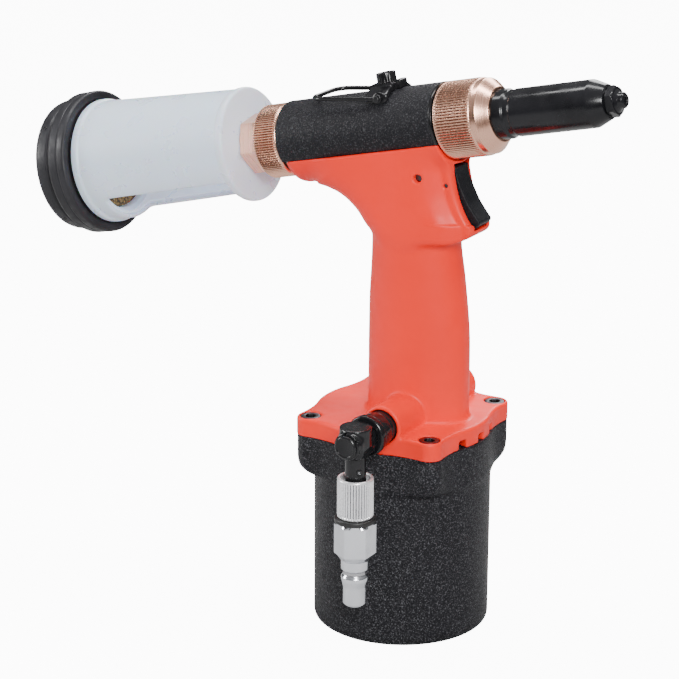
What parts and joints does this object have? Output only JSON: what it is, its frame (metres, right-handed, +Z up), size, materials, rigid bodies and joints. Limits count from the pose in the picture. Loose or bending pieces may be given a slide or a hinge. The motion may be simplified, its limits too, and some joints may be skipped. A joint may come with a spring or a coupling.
{
  "type": "pneumatic rivet gun",
  "caption": "Hand-held air-over-oil blind riveting tool: pistol grip on a large air cylinder, angled barrel with nose, stem collector bottle, hanger loop and swivel air inlet.",
  "frame": {"origin": "centre of the air cylinder's flat underside, on the surface the tool stands on", "axes": "+Z up along the ram and grip, +X towards the nose, -Y the side of the air inlet; the barrel points 13.2 degrees up from +X"},
  "size_m": [0.3279, 0.1217, 0.2944],
  "materials": {
    "black_body": "black wrinkle paint over die-cast aluminium",
    "red_housing": "semi-matte coral red moulded composite",
    "black_cover": "black pebbled moulding",
    "trigger_black": "fine-grained black moulding",
    "gloss_black_nose": "black oxide, polished",
    "copper_anodised": "rose-gold anodised, turned",
    "chrome": "bright nickel-chrome plate",
    "bright_aluminium": "bright turned, knurled",
    "zinc_steel": "zinc-plated",
    "black_fitting": "smooth black",
    "dark_screw": "black oxide socket screw",
    "clear_bottle": "translucent milky blue-white",
    "sintered_bronze": "porous sintered bronze",
    "black_hardware": "gloss black plated strap, screw and wire",
    "cap_black": "satin black moulded rubber",
    "inner_steel": "ground",
    "inner_aluminium": "turned",
    "seal_rubber": "nitrile",
    "spring_steel": "wound wire",
    "filter_felt": "felt",
    "valve_brass": "turned"
  },
  "bodies": {
    "housing": {"air_cylinder": "black_body", "base_seal": "seal_rubber", "base_screws": "dark_screw", "piston_bumper": "seal_rubber", "rod_gland": "valve_brass", "rod_seal": "seal_rubber", "oil_tube": "inner_steel", "handle_housing": "red_housing", "head_cover": "black_cover", "exhaust_silencer": "filter_felt", "housing_pin": "zinc_steel", "main_valve_body": "valve_brass", "main_valve_spring": "spring_steel", "pilot_valve_body": "valve_brass", "pilot_valve_spring": "spring_steel", "trigger_pin": "zinc_steel", "head_body": "inner_steel", "return_spring": "spring_steel", "front_gland": "valve_brass", "front_gland_seal": "seal_rubber", "front_nut": "copper_anodised", "nose_sleeve": "gloss_black_nose", "nosepiece": "gloss_black_nose", "rear_collar": "copper_anodised", "rear_adapter": "copper_anodised", "shutter_sleeve": "clear_bottle", "hanger_saddle": "black_hardware", "bail_pins": "black_hardware", "hanger_screw": "black_hardware", "inlet_nipple": "valve_brass", "far_plug": "dark_screw"},
    "air_ram": {"air_piston": "inner_aluminium", "air_piston_seal": "seal_rubber", "ram_rod": "inner_steel"},
    "puller": {"pull_piston": "inner_steel", "pull_piston_seal": "seal_rubber", "jaw_case": "inner_steel", "jaws": "inner_steel", "jaw_pusher": "inner_steel", "jaw_spring": "spring_steel", "mandrel_tube": "inner_steel"},
    "trigger": {"trigger": "trigger_black"},
    "pilot_stem": {"pilot_valve_stem": "inner_steel"},
    "main_spool": {"main_valve_spool": "inner_steel"},
    "collector": {"collector_bottle": "clear_bottle"},
    "cap": {"collector_cap": "cap_black", "exhaust_filter": "sintered_bronze"},
    "bail": {"hanger_bail": "black_hardware"},
    "inlet_swivel": {"swivel_nut": "black_fitting", "inlet_elbow": "black_fitting", "elbow_plug": "black_fitting", "stem_screw": "zinc_steel"},
    "hose_plug": {"coupler_sleeve": "bright_aluminium", "sleeve_ring": "seal_rubber", "air_plug": "chrome"}
  },
  "joints": [
    {"name": "ram_slide", "type": "slide", "parent": "housing", "child": "air_ram", "axis": [0, 0, 1], "range_m": [0, 0.0495]},
    {"name": "pull_slide", "type": "slide", "parent": "housing", "child": "puller", "axis": [-0.9736, 0, -0.2284], "range_m": [0, 0.018], "deforming": ["return_spring"]},
    {"name": "trigger_swing", "type": "hinge", "parent": "housing", "child": "trigger", "pos_m": [0.028, 0, 0.235], "axis": [0, 1, 0], "range_deg": [0, 12], "stiffness_Nm_per_rad": 0.6, "springref_deg": -8.59},
    {"name": "pilot_slide", "type": "slide", "parent": "housing", "child": "pilot_stem", "axis": [-1, 0, 0], "range_m": [0, 0.0022], "deforming": ["pilot_valve_spring"]},
    {"name": "main_spool_slide", "type": "slide", "parent": "housing", "child": "main_spool", "axis": [0, 0, -1], "range_m": [0, 0.003], "deforming": ["main_valve_spring"]},
    {"name": "bottle_turn", "type": "hinge", "parent": "housing", "child": "collector", "pos_m": [-0.1363, 0, 0.22733], "axis": [0.9736, 0, 0.2284], "range_deg": [-80, 0]},
    {"name": "cap_turn", "type": "hinge", "parent": "collector", "child": "cap", "pos_m": [-0.18985, 0, 0.21477], "axis": [0.9736, 0, 0.2284], "range_deg": [0, 60]},
    {"name": "bail_swing", "type": "hinge", "parent": "housing", "child": "bail", "pos_m": [-0.00866, 0, 0.27432], "axis": [0, 1, 0], "range_deg": [0, 150]},
    {"name": "inlet_turn", "type": "hinge", "parent": "housing", "child": "inlet_swivel", "pos_m": [0.011, -0.0497, 0.1168], "axis": [0, -1, 0], "continuous": true},
    {"name": "plug_turn", "type": "hinge", "parent": "inlet_swivel", "child": "hose_plug", "pos_m": [0.011, -0.066, 0.1015], "axis": [0, 0, 1], "continuous": true}
  ],
  "couplings": [
    {"joint": "pull_slide", "follows": "ram_slide", "ratio": 0.36364},
    {"joint": "pilot_slide", "follows": "trigger_swing", "m_per_rad": 0.010504},
    {"joint": "main_spool_slide", "follows": "trigger_swing", "m_per_rad": 0.014324}
  ]
}
